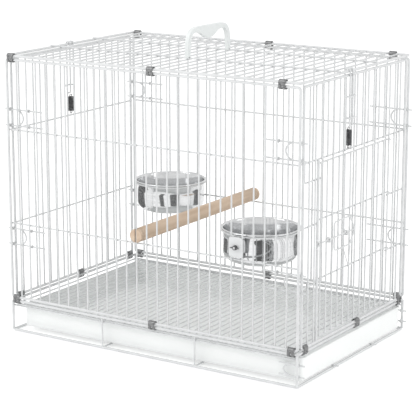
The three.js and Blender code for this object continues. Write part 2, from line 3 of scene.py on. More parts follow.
import bpy
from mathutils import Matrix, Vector


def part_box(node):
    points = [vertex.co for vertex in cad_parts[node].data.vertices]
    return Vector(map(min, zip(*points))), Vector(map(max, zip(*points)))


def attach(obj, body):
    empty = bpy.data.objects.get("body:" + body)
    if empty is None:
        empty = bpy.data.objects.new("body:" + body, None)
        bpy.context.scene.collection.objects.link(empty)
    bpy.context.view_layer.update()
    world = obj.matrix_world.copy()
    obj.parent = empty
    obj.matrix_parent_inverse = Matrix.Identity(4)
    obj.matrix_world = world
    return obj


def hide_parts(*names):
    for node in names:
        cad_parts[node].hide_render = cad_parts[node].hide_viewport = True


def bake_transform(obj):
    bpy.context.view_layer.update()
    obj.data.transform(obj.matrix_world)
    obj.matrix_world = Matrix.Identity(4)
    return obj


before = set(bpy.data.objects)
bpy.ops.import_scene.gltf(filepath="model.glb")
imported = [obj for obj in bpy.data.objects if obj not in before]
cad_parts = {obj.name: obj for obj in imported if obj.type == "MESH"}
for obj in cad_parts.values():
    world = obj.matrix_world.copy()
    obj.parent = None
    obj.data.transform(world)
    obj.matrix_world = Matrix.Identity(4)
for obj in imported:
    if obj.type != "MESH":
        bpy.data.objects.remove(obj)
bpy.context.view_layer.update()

# ---- Base frame ------------------------------------------------------------------------------
# Two rectangles of bent steel rod, one on the ground and one at the top of the base, joined by
# short uprights and spot-welded. Thin floor wires carry the tray and two runners carry the grate.
# All sizes below are in millimetres; make_piece turns them into metres.
LENGTH, DEPTH, HEIGHT = 600.0, 392.0, 508.0
ROD = 4.8  # frame rods
WIRE = 3.0  # upright and cross wires
WELD = 0.2
END_X = LENGTH / 2 - ROD / 2
SIDE_Y = DEPTH / 2 - ROD / 2
BASE_RAIL_Z = 57.6
ROD_BEND = 5.0
BASE_POST_X = 97.0
FLOOR_WIRE_Y = 70.0
FLOOR_WIRE_Z = ROD - WELD + WIRE / 2
FLOOR_WIRE_END = 309.0
RUNNER_Y, RUNNER_Z = 189.9, 47.7
PIN_Y = 187.4  # centre line of all the bolts
EYE_CARRIER_Y = 193.0  # where the tails of the base eyes are welded
EYE_WIRE = 1.6
EYE_RADIUS = 2.6  # centre of the wire of an eye round a pin
BASE_PINS = (18.0, 38.0)


def rounded(path, bend, closed):
    """The same path with each corner turned through a short curve."""
    count = len(path)
    out = []
    for i, here in enumerate(path):
        if not closed and i in (0, count - 1):
            out.append(here)
            continue
        before, after = path[i - 1], path[(i + 1) % count]
        reach = min(bend, (before - here).length * 0.45, (after - here).length * 0.45)
        start = here + (before - here).normalized() * reach
        stop = here + (after - here).normalized() * reach
        for k in range(6):
            t = k / 5
            out.append(start * (1 - t) ** 2 + here * 2 * t * (1 - t) + stop * t * t)
    return out


def new_shape():
    return {"points": [], "faces": []}


def add_rings(shape, rings, closed=False):
    """Skins a row of rings that all have the same number of points, and caps an open row."""
    sides = len(rings[0])
    first = len(shape["points"])
    for ring in rings:
        shape["points"].extend(ring)
    steps = len(rings) if closed else len(rings) - 1
    for i in range(steps):
        a = first + i * sides
        b = first + ((i + 1) % len(rings)) * sides
        for k in range(sides):
            n = (k + 1) % sides
            shape["faces"].append((a + k, a + n, b + n, b + k))
    if not closed:
        last = first + (len(rings) - 1) * sides
        shape["faces"].append(tuple(first + k for k in reversed(range(sides))))
        shape["faces"].append(tuple(last + k for k in range(sides)))


def add_wire(shape, points, thick, bend=0.0, closed=False, sides=10):
    """One round wire along points, with curved bends and slightly rounded cut ends."""
    path = [Vector(p) for p in points]
    if bend:
        path = rounded(path, bend, closed)
    radius = thick / 2
    count = len(path)
    ways = []
    for i in range(count):
        a = path[i - 1] if (closed or i > 0) else path[i]
        b = path[(i + 1) % count] if (closed or i < count - 1) else path[i]
        ways.append((b - a).normalized())
    across = ways[0].orthogonal().normalized()
    rings = []
    for i, (at, way) in enumerate(zip(path, ways)):
        if i:
            across = ways[i - 1].rotation_difference(way) @ across
        other = way.cross(across)
        for shift, share in end_rings(i, count, closed):
            centre = at + way * (shift * radius)
            rings.append([
                centre + (across * math.cos(turn) + other * math.sin(turn)) * radius * share
                for turn in (2 * math.pi * k / sides for k in range(sides))
            ])
    add_rings(shape, rings, closed)


def end_rings(i, count, closed):
    """Where a wire's rings go at one point: one in the middle, three at a cut end."""
    if closed or 0 < i < count - 1:
        return [(0.0, 1.0)]
    cut = [(0.0, 0.45), (0.25, 0.85), (0.6, 1.0)]
    return cut if i == 0 else [(-s, r) for s, r in reversed(cut)]


def straight(shape, start, stop, thick, sides=10):
    add_wire(shape, [start, stop], thick, sides=sides)


def upright_rectangle(shape, y, low, high):
    """A closed upright rectangle of rod, as long as the cage."""
    corners = [(-END_X, y, low), (END_X, y, low), (END_X, y, high), (-END_X, y, high)]
    add_wire(shape, corners, ROD, ROD_BEND, closed=True)


def flat_rectangle(shape, half_x, half_y, z, thick=ROD, bend=ROD_BEND):
    """A closed level rectangle of rod."""
    corners = [(-half_x, -half_y, z), (half_x, -half_y, z), (half_x, half_y, z), (-half_x, half_y, z)]
    add_wire(shape, corners, thick, bend, closed=True)


def pin_eye(shape, x, y, z, carrier_y):
    """A small ring round a pin, with a tail welded to the wire that carries it."""
    ring = []
    for k in range(16):
        turn = 2 * math.pi * k / 16
        ring.append((x, y + EYE_RADIUS * math.cos(turn), z + EYE_RADIUS * math.sin(turn)))
    add_wire(shape, ring, EYE_WIRE, closed=True, sides=8)
    near = y + math.copysign(EYE_RADIUS, carrier_y - y)
    straight(shape, (x, near, z), (x, carrier_y, z), EYE_WIRE, sides=8)


def turned(shape):
    """The same shape turned half a turn about the upright axis."""
    return {"points": [Vector((-p[0], -p[1], p[2])) for p in shape["points"]], "faces": shape["faces"]}


def make_piece(name, shape, material, body, nodes, smooth=True, stretch=None):
    """One mesh on its body. When stretch is given, the mesh goes on no body and its placing is baked in.
    stretch is (moving body, fixed end, moving end), for a spring; only whether it is given is read, and its
    parts are not used.
    """
    mesh = bpy.data.meshes.new(name)
    mesh.from_pydata([tuple(c * 0.001 for c in p) for p in shape["points"]], [], shape["faces"])
    mesh.validate()
    mesh.update()
    piece = bpy.data.objects.new(name, mesh)
    bpy.context.scene.collection.objects.link(piece)
    mesh.materials.append(material)
    if smooth:
        mesh.polygons.foreach_set("use_smooth", [True] * len(mesh.polygons))
    if stretch:
        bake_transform(piece)
    else:
        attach(piece, body)
    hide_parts(*nodes)
    return piece


def node_material(name):
    """An empty node material, its node list, its links and its shader."""
    material = bpy.data.materials.new(name)
    material.use_nodes = True
    tree = material.node_tree
    shader = tree.nodes["Principled BSDF"]
    return material, tree.nodes, tree.links, shader


def noise(nodes, links, scale, detail=3.0, stretch=(1, 1, 1)):
    """Noise in the piece's own metres, stretched along an axis if need be."""
    place = nodes.new("ShaderNodeTexCoord")
    mapping = nodes.new("ShaderNodeMapping")
    mapping.inputs["Scale"].default_value = stretch
    texture = nodes.new("ShaderNodeTexNoise")
    texture.inputs["Scale"].default_value = scale
    texture.inputs["Detail"].default_value = detail
    links.new(place.outputs["Object"], mapping.inputs["Vector"])
    links.new(mapping.outputs["Vector"], texture.inputs["Vector"])
    return texture


def vary_colour(nodes, links, shader, source, stops):
    """Colour that follows a noise, through stops of (noise level, colour)."""
    ramp = nodes.new("ShaderNodeValToRGB")
    marks = ramp.color_ramp.elements
    marks[0].position, marks[1].position = stops[0][0], stops[-1][0]
    marks[0].color = (*stops[0][1], 1)
    marks[1].color = (*stops[-1][1], 1)
    for at, colour in stops[1:-1]:
        marks.new(at).color = (*colour, 1)
    links.new(source.outputs["Fac"], ramp.inputs["Fac"])
    links.new(ramp.outputs["Color"], shader.inputs["Base Color"])


def vary_roughness(nodes, links, shader, source, low, high):
    spread = nodes.new("ShaderNodeMapRange")
    spread.inputs["To Min"].default_value = low
    spread.inputs["To Max"].default_value = high
    links.new(source.outputs["Fac"], spread.inputs["Value"])
    links.new(spread.outputs["Result"], shader.inputs["Roughness"])


def bump(nodes, links, shader, source, strength, distance):
    lift = nodes.new("ShaderNodeBump")
    lift.inputs["Strength"].default_value = strength
    lift.inputs["Distance"].default_value = distance
    links.new(source.outputs["Fac"], lift.inputs["Height"])
    links.new(lift.outputs["Normal"], shader.inputs["Normal"])


def powder_coat():
    """Baked white powder: a faint orange-peel surface that pools slightly thicker in places."""
    material, nodes, links, shader = node_material("white_powder_coat")
    pooled = noise(nodes, links, 60.0)
    peel = noise(nodes, links, 1400.0, 2.0)
    vary_colour(nodes, links, shader, pooled, [(0.3, (0.6, 0.61, 0.615)), (0.7, (0.67, 0.68, 0.685))])
    vary_roughness(nodes, links, shader, pooled, 0.32, 0.46)
    bump(nodes, links, shader, peel, 0.25, 0.00015)
    shader.inputs["Coat Weight"].default_value = 0.15
    shader.inputs["Coat Roughness"].default_value = 0.3
    return material


white_coat = powder_coat()

base = new_shape()
flat_rectangle(base, END_X, SIDE_Y, ROD / 2)
flat_rectangle(base, END_X, SIDE_Y, BASE_RAIL_Z)
for y in (-SIDE_Y, SIDE_Y):
    for x in (-END_X, END_X):
        straight(base, (x, y, ROD / 2), (x, y, BASE_RAIL_Z), ROD)
    for x in (-BASE_POST_X, BASE_POST_X):
        straight(base, (x, y, ROD / 2), (x, y, BASE_RAIL_Z), WIRE)
    runner = math.copysign(RUNNER_Y, y)
    straight(base, (-END_X, runner, RUNNER_Z), (END_X, runner, RUNNER_Z), WIRE)
    for z in BASE_PINS:
        pin_eye(base, END_X, math.copysign(PIN_Y, y), z, math.copysign(EYE_CARRIER_Y, y))
for x in (-BASE_POST_X, BASE_POST_X):
    straight(base, (x, -SIDE_Y, ROD / 2), (x, SIDE_Y, ROD / 2), WIRE)
for y in (-FLOOR_WIRE_Y, FLOOR_WIRE_Y):
    straight(base, (-FLOOR_WIRE_END, y, FLOOR_WIRE_Z), (FLOOR_WIRE_END, y, FLOOR_WIRE_Z), WIRE)
make_piece("welded_base", base, white_coat, "cage", ["base_frame"])

# ---- Front and back panels -------------------------------------------------------------------
# A rod rectangle filled with upright wires, with two cross wires welded on the inside. Small
# eyes near each corner carry the sliding bolts.
PANEL_LOW, PANEL_HIGH = 64.4, 498.8
FRONT_GAPS = 28
FRONT_PITCH = 2 * END_X / FRONT_GAPS
UPPER_CROSS, LOWER_CROSS = 373.0, 202.0
CROSS_STEP = WIRE - WELD
BOLT_MIDDLES = {"upper": 394.5, "lower": 176.5}
PIN_SPAN = 29.0


def front_wire_x(i):
    return -END_X + FRONT_PITCH * i


def pin_heights(middle, span=PIN_SPAN):
    return (middle - span / 2, middle + span / 2)


long_panel = new_shape()
upright_rectangle(long_panel, -SIDE_Y, PANEL_LOW, PANEL_HIGH)
for i in range(1, FRONT_GAPS):
    straight(long_panel, (front_wire_x(i), -SIDE_Y, PANEL_LOW), (front_wire_x(i), -SIDE_Y, PANEL_HIGH), WIRE)
for z in (UPPER_CROSS, LOWER_CROSS):
    y = -SIDE_Y + CROSS_STEP
    straight(long_panel, (-END_X, y, z), (END_X, y, z), WIRE)
for middle in BOLT_MIDDLES.values():
    for z in pin_heights(middle):
        for x in (front_wire_x(2), front_wire_x(FRONT_GAPS - 2)):
            pin_eye(long_panel, x, -PIN_Y, z, -SIDE_Y)
make_piece("front_wire_panel", long_panel, white_coat, "cage", ["front_panel"])
make_piece("back_wire_panel", turned(long_panel), white_coat, "cage", ["back_panel"])

# ---- Roof ------------------------------------------------------------------------------------
# A flat rod rectangle with wires from front to back. Two long wires lie across the top of them
# and carry the handle.
ROOF_Z = 505.6
ROOF_WIRE_Y = 65.0

roof = new_shape()
flat_rectangle(roof, END_X, SIDE_Y, ROOF_Z)
for i in range(1, FRONT_GAPS):
    straight(roof, (front_wire_x(i), -SIDE_Y, ROOF_Z), (front_wire_x(i), SIDE_Y, ROOF_Z), WIRE)
for y in (-ROOF_WIRE_Y, ROOF_WIRE_Y):
    top = ROOF_Z + CROSS_STEP
    straight(roof, (-LENGTH / 2, y, top), (LENGTH / 2, y, top), WIRE)
make_piece("roof_grid", roof, white_coat, "cage", ["roof_panel"])

# ---- Side panels -----------------------------------------------------------------------------
# Rod rectangles that stand between the front and the back. The right one has a doorway, with a
# doubled edge rod, two wires that stop the door swinging in, and a V that the latch meets.
POST_Y = 181.8
SIDE_GAPS = 18
SIDE_PITCH = 2 * POST_Y / SIDE_GAPS
DOOR_EDGE_WIRE, DOOR_HINGE_WIRE = 3, 15
DOOR_RAILS = (271.0, 170.0)
RAIL_STEP = 5.0
DOOR_TOP, DOOR_BOTTOM = 366.0, 71.0
HOOK_GUIDES = (464.0, 428.0)
HOOK_WIRE = 2.8
PLAY = 0.4
LATCH_Z = 233.0
STOP_WIRE = 2.8
LATCH_WIRE = 2.8
DOOR_EDGE_GAP = 10.6  # from the fixed edge rod to the door's own edge wire
# A door stop is (how far behind the fixed edge, its level, where it starts, how far past the door's edge).
DOOR_STOPS = ((39, DOOR_TOP - 26, UPPER_CROSS, 6.5), (23, DOOR_BOTTOM + 15, PANEL_LOW, 18.5))
KEEPER_RISE = 9  # half the height of the V that the latch meets


def side_wire_y(i):
    return -POST_Y + SIDE_PITCH * i


FIXED_EDGE_Y = side_wire_y(DOOR_EDGE_WIRE) - DOOR_EDGE_GAP
HOOK_Y = {
    "right": (side_wire_y(7) + side_wire_y(8)) / 2,
    "left": (side_wire_y(8) + side_wire_y(9)) / 2,
}


def hook_staple(shape, y, z):
    """A U of wire over the spring hook, its legs welded to the uprights on either side."""
    out = LENGTH / 2 + 2 * PLAY + HOOK_WIRE + WIRE / 2
    a, b = y - SIDE_PITCH / 2, y + SIDE_PITCH / 2
    add_wire(shape, [(END_X, a, z), (out, a, z), (out, b, z), (END_X, b, z)], WIRE, 3.0)


def side_panel(hook_y, with_door):
    """A side panel as it stands at the right end, with or without the doorway."""
    shape = new_shape()
    corners = [(-POST_Y, PANEL_LOW), (POST_Y, PANEL_LOW), (POST_Y, PANEL_HIGH), (-POST_Y, PANEL_HIGH)]
    add_wire(shape, [(END_X, y, z) for y, z in corners], ROD, ROD_BEND, closed=True)
    cross_x = END_X - CROSS_STEP
    straight(shape, (cross_x, -POST_Y, UPPER_CROSS), (cross_x, POST_Y, UPPER_CROSS), WIRE)
    for i in range(1, SIDE_GAPS):
        over_door = with_door and DOOR_EDGE_WIRE <= i < DOOR_HINGE_WIRE
        foot = UPPER_CROSS - WIRE / 2 if over_door else PANEL_LOW
        straight(shape, (END_X, side_wire_y(i), foot), (END_X, side_wire_y(i), PANEL_HIGH), WIRE)
    if with_door:
        straight(shape, (END_X, FIXED_EDGE_Y, PANEL_LOW), (END_X, FIXED_EDGE_Y, UPPER_CROSS), ROD)
        for rail in DOOR_RAILS:
            z = rail - RAIL_STEP
            straight(shape, (cross_x, -POST_Y, z), (cross_x, FIXED_EDGE_Y, z), WIRE)
            straight(shape, (cross_x, side_wire_y(DOOR_HINGE_WIRE), z), (cross_x, POST_Y, z), WIRE)
        x = END_X - ROD / 2 - STOP_WIRE / 2 + WELD * 1.5
        edge = side_wire_y(DOOR_EDGE_WIRE)
        for away, level, from_z, past in DOOR_STOPS:
            y = FIXED_EDGE_Y - away
            add_wire(shape, [(x, y, from_z), (x, y, level), (x, edge + past, level)], STOP_WIRE, 5.0)
        x = LENGTH / 2 + LATCH_WIRE / 2 - WELD
        back, point = side_wire_y(2), FIXED_EDGE_Y + ROD / 2
        keeper = [(x, back, LATCH_Z + KEEPER_RISE), (x, point, LATCH_Z), (x, back, LATCH_Z - KEEPER_RISE)]
        add_wire(shape, keeper, LATCH_WIRE, 2.5)
    else:
        straight(shape, (cross_x, -POST_Y, LOWER_CROSS), (cross_x, POST_Y, LOWER_CROSS), WIRE)
    for z in HOOK_GUIDES:
        hook_staple(shape, hook_y, z)
    for middle in BOLT_MIDDLES.values():
        for z in pin_heights(middle):
            for y in (-PIN_Y, PIN_Y):
                pin_eye(shape, END_X, y, z, math.copysign(POST_Y, y))
    return shape


door_panel = side_panel(HOOK_Y["right"], True)
plain_panel = turned(side_panel(-HOOK_Y["left"], False))
make_piece("right_wire_panel", door_panel, white_coat, "cage", ["right_side_panel"])
make_piece("left_wire_panel", plain_panel, white_coat, "cage", ["left_side_panel"])

# ---- Side door -------------------------------------------------------------------------------
# Twelve upright wires on four rails. Each rail's end is curled round one upright of the panel,
# which is the hinge. Two staples hold the latch.
HINGE_EYE = 3.47  # centre of the curled wire
HINGE_WIRE = 2.0
CURL_START, CURL_STEP, CURL_POINTS = 225, 22, 15  # degrees, degrees, points
CURL_LEAD = 1.5  # straight wire before the curl

door = new_shape()
hinge_y = side_wire_y(DOOR_HINGE_WIRE)
door_edge_y = side_wire_y(DOOR_EDGE_WIRE) - WIRE / 2
for i in range(DOOR_EDGE_WIRE, DOOR_HINGE_WIRE):
    straight(door, (END_X, side_wire_y(i), DOOR_BOTTOM), (END_X, side_wire_y(i), DOOR_TOP), WIRE)
for z in (DOOR_TOP, *DOOR_RAILS, DOOR_BOTTOM):
    rail_x = END_X - CROSS_STEP
    curl = []
    for k in range(CURL_POINTS):
        turn = math.radians(CURL_START - CURL_STEP * k)
        curl.append((END_X + HINGE_EYE * math.cos(turn), hinge_y + HINGE_EYE * math.sin(turn), z))
    straight(door, (rail_x, door_edge_y, z), (rail_x, hinge_y - HINGE_EYE, z), WIRE)
    add_wire(door, [(rail_x, hinge_y - HINGE_EYE - CURL_LEAD, z), *curl], HINGE_WIRE)
for i in (DOOR_EDGE_WIRE + 1, DOOR_EDGE_WIRE + 4):
    out = LENGTH / 2 + 2 * PLAY + LATCH_WIRE + WIRE / 2
    y = side_wire_y(i)
    rise = LATCH_WIRE / 2 + PLAY + WIRE / 2
    under, over = LATCH_Z - rise, LATCH_Z + rise
    add_wire(door, [(END_X, y, under), (out, y, under), (out, y, over), (END_X, y, over)], WIRE, 2.0)
make_piece("wire_door", door, white_coat, "door", ["side_door"])

# ---- Door latch ------------------------------------------------------------------------------
# One rod that slides in the door's staples, with a bent grip frame pushed back by the thumb.
# The spring is a V of thinner wire standing on the door's lower rail.
LATCH_X = LENGTH / 2 + PLAY + LATCH_WIRE / 2
LATCH_HIGH, LATCH_FOOT = LATCH_Z + 26, LATCH_Z - 23
LATCH_FRONT = side_wire_y(5)
LATCH_BACK = side_wire_y(8) - 4
LATCH_PULL = LATCH_BACK + 14
SPRING_WIRE = 1.8
V_FRONT, V_POINT = LATCH_BACK - 24, LATCH_BACK - 6

latch = new_shape()
latch_tip = FIXED_EDGE_Y + ROD / 2 + LATCH_WIRE + PLAY
straight(latch, (LATCH_X, latch_tip, LATCH_Z), (LATCH_X, LATCH_PULL, LATCH_Z), LATCH_WIRE)
grip = [
    (LATCH_FRONT, LATCH_HIGH), (LATCH_BACK, LATCH_HIGH), (LATCH_PULL, LATCH_Z),
    (LATCH_BACK, LATCH_FOOT), (LATCH_FRONT, LATCH_FOOT),
]
add_wire(latch, [(LATCH_X, y, z) for y, z in grip], LATCH_WIRE, 6.0, closed=True)
make_piece("latch_rod", latch, white_coat, "latch", ["door_latch"])

low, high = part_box("door_latch_spring")
spring = new_shape()
v_top, v_foot = high.z * 1000 - SPRING_WIRE / 2, low.z * 1000 + SPRING_WIRE / 2
legs = [(V_FRONT, v_top), (V_POINT, v_foot), (LATCH_BACK, v_top)]
add_wire(spring, [(LATCH_X, y, z) for y, z in legs], SPRING_WIRE, 3.0)
make_piece("latch_v_spring", spring, white_coat, "door", ["door_latch_spring"],
           stretch=("latch", (LATCH_X, LATCH_BACK, v_foot), (LATCH_X, LATCH_BACK, v_top)))

# ---- Roof hooks ------------------------------------------------------------------------------
# A doubled wire crook over the roof's end rod. An extension spring between it and the panel's
# upper cross wire pulls it down.
HOOK_SPAN = 10.0
HOOK_FOOT = 414.0
SPRING_OUTSIDE = 12.0
COIL_WIRE = 1.3
COIL_END = 5.5  # the end loop, beyond the close turns
COIL_PITCH = 1.12  # of the wire, from one turn to the next
COIL_POINTS = 16  # in one turn
COIL_SIDES = 7
END_LOOP_POINTS = 14
SPRING_TOP, SPRING_FOOT = HOOK_FOOT - HOOK_WIRE / 2 - PLAY, UPPER_CROSS + WIRE / 2 + PLAY
COIL_HIGH, COIL_LOW = SPRING_TOP - COIL_END, SPRING_FOOT + COIL_END


def spring_steel():
    """Oil-dark drawn wire, a little brighter where it has rubbed."""
    material, nodes, links, shader = node_material("dark_spring_steel")
    worn = noise(nodes, links, 220.0)
    vary_colour(nodes, links, shader, worn, [(0.35, (0.07, 0.072, 0.075)), (0.75, (0.2, 0.2, 0.205))])
    vary_roughness(nodes, links, shader, worn, 0.3, 0.5)
    bump(nodes, links, shader, worn, 0.15, 0.0001)
    shader.inputs["Metallic"].default_value = 0.85
    return material


dark_steel = spring_steel()


def roof_hook(y):
    """The doubled crook as one closed loop: two legs, over the rod and down behind it."""
    leg = LENGTH / 2 + PLAY + HOOK_WIRE / 2
    over = HEIGHT + PLAY + HOOK_WIRE / 2
    behind = END_X - ROD / 2 - PLAY - HOOK_WIRE / 2
    tip = ROOF_Z - ROD / 2
    a, b = y - HOOK_SPAN / 2, y + HOOK_SPAN / 2
    loop = [(leg, a, HOOK_FOOT), (leg, a, over), (behind, a, over), (behind, a, tip),
            (behind, b, tip), (behind, b, over), (leg, b, over), (leg, b, HOOK_FOOT)]
    shape = new_shape()
    add_wire(shape, loop, HOOK_WIRE, 2.5, closed=True)
    return shape


def coil_spring(y):
    """Close turns of fine wire with an oval loop at each end."""
    radius = (SPRING_OUTSIDE - COIL_WIRE) / 2
    length = COIL_HIGH - COIL_LOW
    steps = round(length / (COIL_WIRE * COIL_PITCH)) * COIL_POINTS
    path = []
    for k in range(steps + 1):
        turn = 2 * math.pi * k / COIL_POINTS
        z = COIL_LOW + length * k / steps
        path.append((END_X + radius * math.cos(turn), y + radius * math.sin(turn), z))
    shape = new_shape()
    add_wire(shape, path, COIL_WIRE, sides=COIL_SIDES)
    for z_end, z_coil in ((SPRING_FOOT + COIL_WIRE / 2, COIL_LOW), (SPRING_TOP - COIL_WIRE / 2, COIL_HIGH)):
        ring = []
        middle = (z_end + z_coil) / 2
        reach = abs(z_coil - z_end) / 2
        for k in range(END_LOOP_POINTS):
            turn = 2 * math.pi * k / END_LOOP_POINTS
            ring.append((END_X, y + reach * 1.2 * math.cos(turn), middle + reach * math.sin(turn)))
        add_wire(shape, ring, COIL_WIRE, closed=True, sides=COIL_SIDES)
    return shape


hooks = {"right": roof_hook(HOOK_Y["right"]), "left": turned(roof_hook(-HOOK_Y["left"]))}
coils = {"right": coil_spring(HOOK_Y["right"]), "left": turned(coil_spring(-HOOK_Y["left"]))}
for side, hook in hooks.items():
    make_piece(f"{side}_roof_hook", hook, white_coat, f"{side}_hook", [f"{side}_spring_hook"])
for side, coil in coils.items():
    make_piece(f"{side}_coil", coil, dark_steel, "cage", [f"{side}_hook_spring"],
               stretch=(f"{side}_hook", (0, 0, COIL_LOW), (0, 0, COIL_HIGH)))

# ---- Sliding bolts ---------------------------------------------------------------------------
# Two straight pins joined by a D of the same wire, which a finger draws. One sits at each end of
# the front and back panels, above and below, and a shorter one at the right of the base.
BOLT_WIRE = 2.8
PIN_TIP = 309.0
PIN_REACH = 84.0
LOOP_BULGE = 17.0
LOOP_SETBACK = 10.0  # from the corner rod
LOOP_FROM = END_X - ROD / 2 - LOOP_SETBACK
LOOP_STEPS = 16
BASE_PIN_REACH = 50.0


def sliding_bolt(y, middle, span, reach, side):
    """Two pins and their finger loop. side is 1 at the right end and -1 at the left."""
    shape = new_shape()
    for z in pin_heights(middle, span):
        straight(shape, (side * (PIN_TIP - reach), y, z), (side * PIN_TIP, y, z), BOLT_WIRE)
    loop = []
    for k in range(LOOP_STEPS + 1):
        turn = math.pi * k / LOOP_STEPS
        x = side * (LOOP_FROM - LOOP_BULGE * math.sin(turn))
        loop.append((x, y, middle + span / 2 * math.cos(turn)))
    add_wire(shape, loop, BOLT_WIRE)
    return shape


for end, y in (("front", -PIN_Y), ("back", PIN_Y)):
    for side_name, side in (("right", 1), ("left", -1)):
        for level, middle in BOLT_MIDDLES.items():
            node = f"{end}_{side_name}_{level}_bolt"
            shape = sliding_bolt(y, middle, PIN_SPAN, PIN_REACH, side)
            make_piece(f"{node}_wire", shape, white_coat, node, [node])
    node = f"{end}_base_bolt"
    shape = sliding_bolt(y, sum(BASE_PINS) / 2, BASE_PINS[1] - BASE_PINS[0], BASE_PIN_REACH, 1)
    make_piece(f"{node}_wire", shape, white_coat, node, [node])

# ---- Hinge clips -----------------------------------------------------------------------------
# Stamped sheet bands wrapped round two neighbouring rods, so that the panels can fold. The
# outer side is cut into two legs, and the inner side is left open by a slit.
CLIP_WIDTH = 0.64 * SIDE_PITCH
CLIP_SHEET = 1.0
CLIP_REACH = math.sqrt(2) * ROD / 2 + PLAY + CLIP_SHEET
HINGE_GAP = 2.0  # between the two rods that a clip holds
CLIP_RISE = (ROD + HINGE_GAP) / 2
FORK_HALF = CLIP_WIDTH / 8
CLIP_TURN_STEPS = 12
STAMPED_EDGE = 0.00025  # metres


def clip_steel():
    """Dark zinc-plated sheet with rolling marks and brighter edges where it was stamped."""
    material, nodes, links, shader = node_material("stamped_clip_steel")
    marks = noise(nodes, links, 260.0, 4.0, (1, 1, 3))
    vary_colour(nodes, links, shader, marks, [(0.3, (0.13, 0.132, 0.135)), (0.75, (0.34, 0.342, 0.345))])
    vary_roughness(nodes, links, shader, marks, 0.32, 0.52)
    bump(nodes, links, shader, marks, 0.2, 0.0001)
    shader.inputs["Metallic"].default_value = 0.8
    return material


stamped_steel = clip_steel()


def clip_outline():
    """The band's middle line as (outwards, up), from the slit over the top and round below."""
    radius = CLIP_REACH - CLIP_SHEET / 2
    half_turn = [math.pi * k / CLIP_TURN_STEPS for k in range(CLIP_TURN_STEPS + 1)]
    line = [(-radius, CLIP_RISE * 0.2)]
    line += [(-radius * math.cos(t), CLIP_RISE + radius * math.sin(t)) for t in half_turn]
    line.append((radius, 0.0))
    line += [(radius * math.cos(t), -CLIP_RISE - radius * math.sin(t)) for t in half_turn]
    return line


def clip_piece(node):
    """One clip, centred on its node's box and turned to face out of the cage."""
    low, high = (v * 1000 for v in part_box(node))
    centre = (low + high) / 2
    if node.startswith(("right", "left")):
        out, along = Vector((math.copysign(1, centre.x), 0, 0)), Vector((0, 1, 0))
        centre.x = math.copysign(END_X, centre.x)
    else:
        out, along = Vector((0, math.copysign(1, centre.y), 0)), Vector((1, 0, 0))
        centre.y = math.copysign(SIDE_Y, centre.y)
    line = clip_outline()
    columns = (-CLIP_WIDTH / 2, -FORK_HALF, FORK_HALF, CLIP_WIDTH / 2)
    shape = new_shape()
    for o, z in line:
        for c in columns:
            shape["points"].append(centre + out * o + along * c + Vector((0, 0, z)))
    split = next(i for i, (out_by, z) in enumerate(line) if out_by > 0 and z <= 0)
    for i in range(len(line) - 1):
        for c in range(3):
            if c == 1 and i >= split:
                continue
            a = i * 4 + c
            shape["faces"].append((a, a + 1, a + 5, a + 4))
    piece = make_piece(f"{node}_sheet", shape, stamped_steel, "cage", [node])
    thickness = piece.modifiers.new("sheet", "SOLIDIFY")
    thickness.thickness = CLIP_SHEET * 0.001
    thickness.offset = 0
    edge = piece.modifiers.new("stamped_edge", "BEVEL")
    edge.width = STAMPED_EDGE
    edge.segments = 2
    edge.limit_method = "ANGLE"


for node in sorted(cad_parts):
    if "_clip_" in node:
        clip_piece(node)

# ---- Tray ------------------------------------------------------------------------------------
# A shallow moulded drawer with upright walls, a rolled lip and rounded corners. It rests on the
# floor wires and slides out at the door end.
TRAY_CORNER = 8.0
TRAY_WALL = 2.0
TRAY_LIP = 3.0
TRAY_EDGE = 0.8
TRAY_LEAST_CORNER = 0.6
TRAY_CORNER_STEPS = 9


def moulded(name, colour, patchy, rough):
    """Injection-moulded plastic with a fine satin grain and a slight change of tone."""
    material, nodes, links, shader = node_material(name)
    tone = noise(nodes, links, 9.0)
    grain = noise(nodes, links, 2600.0, 2.0)
    vary_colour(nodes, links, shader, tone, [(0.3, patchy), (0.7, colour)])
    vary_roughness(nodes, links, shader, grain, rough - 0.05, rough + 0.06)
    bump(nodes, links, shader, grain, 0.12, 0.00008)
    return material


tray_plastic = moulded("satin_tray_plastic", (0.83, 0.845, 0.84), (0.8, 0.815, 0.81), 0.4)


def rounded_ring(box, inset, z, corner):
    """A rectangle with round corners, inset from box, at one height."""
    x0, y0, x1, y1 = box[0] + inset, box[1] + inset, box[2] - inset, box[3] - inset
    r = max(corner - inset, TRAY_LEAST_CORNER)
    left, right, front, back = x0 + r, x1 - r, y0 + r, y1 - r
    ring = []
    for cx, cy, start in ((right, back, 0), (left, back, 90), (left, front, 180), (right, front, 270)):
        for k in range(TRAY_CORNER_STEPS + 1):
            turn = math.radians(start + 90 * k / TRAY_CORNER_STEPS)
            ring.append(Vector((cx + r * math.cos(turn), cy + r * math.sin(turn), z)))
    return ring


low, high = (v * 1000 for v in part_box("tray"))
foot, brim = low.z, high.z
outline = (low.x, low.y, high.x, high.y)
lip_in = TRAY_WALL
corner = TRAY_CORNER + TRAY_WALL
